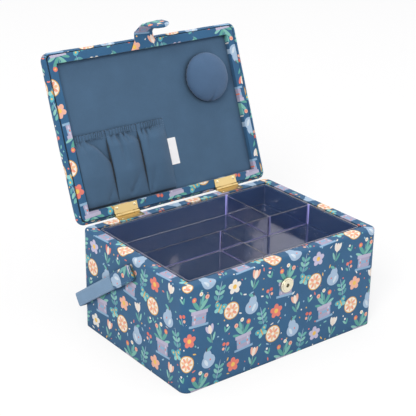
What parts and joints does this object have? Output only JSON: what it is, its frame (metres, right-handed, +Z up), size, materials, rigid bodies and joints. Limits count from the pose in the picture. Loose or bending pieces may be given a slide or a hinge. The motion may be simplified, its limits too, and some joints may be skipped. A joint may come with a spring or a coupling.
{
  "type": "sewing box",
  "caption": "Fabric-covered sewing box, open: padded hinged lid with pincushion and pockets, lift-out clear tray, swinging carry handle and snap tab.",
  "frame": {"origin": "centre of the flat underside", "axes": "+X to the right along the hinge line as seen from the front, +Y from the front wall, which has the snap, towards the hinges, +Z up and square to the underside"},
  "size_m": [0.2728, 0.2726, 0.3146],
  "materials": {
    "printed_cotton": "satin print, fine weave",
    "plain_cotton": "plain fine weave",
    "handle_band_cloth": "plain fine weave",
    "tray_plastic": "clear, faint violet tint",
    "grey_board": "uncoated grey board",
    "foam": "soft polyether foam",
    "brass_plate": "bright plated",
    "steel_plate": "plain zinc plated",
    "magnet": "sintered, dull",
    "label_cloth": "white tape, blank",
    "elastic": "flat elastic",
    "stiffener": "extruded strip"
  },
  "bodies": {
    "base": {"base_cover": "printed_cotton", "board_back": "grey_board", "board_front": "grey_board", "board_left": "grey_board", "board_right": "grey_board", "floor_board": "grey_board", "handle_spacer_left": "brass_plate", "handle_spacer_right": "brass_plate", "handle_stud_left": "brass_plate", "handle_stud_right": "brass_plate", "hinge_left_base_leaf": "brass_plate", "hinge_left_pin": "brass_plate", "hinge_right_base_leaf": "brass_plate", "hinge_right_pin": "brass_plate", "hinge_screws_base": "brass_plate", "lining_back": "plain_cotton", "lining_floor": "plain_cotton", "lining_front": "plain_cotton", "lining_left": "plain_cotton", "lining_right": "plain_cotton", "snap_magnet": "magnet", "snap_socket": "brass_plate", "snap_washer": "steel_plate", "tray_ledge_left": "grey_board", "tray_ledge_right": "grey_board", "underside_panel": "plain_cotton"},
    "handle": {"handle_band": "handle_band_cloth", "handle_core": "stiffener", "handle_end_left": "printed_cotton", "handle_end_right": "printed_cotton"},
    "lid": {"hinge_left_lid_leaf": "brass_plate", "hinge_right_lid_leaf": "brass_plate", "hinge_screws_lid": "brass_plate", "label_tab": "label_cloth", "lid_board": "grey_board", "lid_cover": "printed_cotton", "lid_frame_back": "grey_board", "lid_frame_front": "grey_board", "lid_frame_left": "grey_board", "lid_frame_right": "grey_board", "lid_lining": "plain_cotton", "lid_padding": "foam", "lid_rim_cover": "printed_cotton", "pincushion_cloth": "plain_cotton", "pincushion_filling": "foam", "pocket_cloth": "plain_cotton", "pocket_elastic": "elastic", "tab_root": "printed_cotton"},
    "closure_tab_end": {"snap_stud": "brass_plate", "stud_washer": "steel_plate", "tab_end": "printed_cotton"},
    "closure_tab": {"tab_strap": "printed_cotton"},
    "tray": {"tray": "tray_plastic"}
  },
  "joints": [
    {"name": "lid_hinge", "type": "hinge", "parent": "base", "child": "lid", "pos_m": [0, 0.095, 0.1177], "axis": [-1, 0, 0], "range_deg": [-111, 0]},
    {"name": "tray_lift", "type": "slide", "parent": "base", "child": "tray", "axis": [0, 0, 1], "range_m": [0, 0.13]},
    {"name": "handle_swing", "type": "hinge", "parent": "base", "child": "handle", "pos_m": [0, 0, 0.098], "axis": [-1, 0, 0], "range_deg": [-45, 0]},
    {"name": "tab_fold", "type": "hinge", "parent": "lid", "child": "closure_tab", "pos_m": [0, 0.16434, 0.29835], "axis": [-1, 0, 0], "range_deg": [-18, 72]},
    {"name": "tab_crease", "type": "hinge", "parent": "closure_tab", "child": "closure_tab_end", "pos_m": [0, 0.14802, 0.31156], "axis": [0.9848, -0.1349, 0.1093], "range_deg": [-38, 22]}
  ]
}
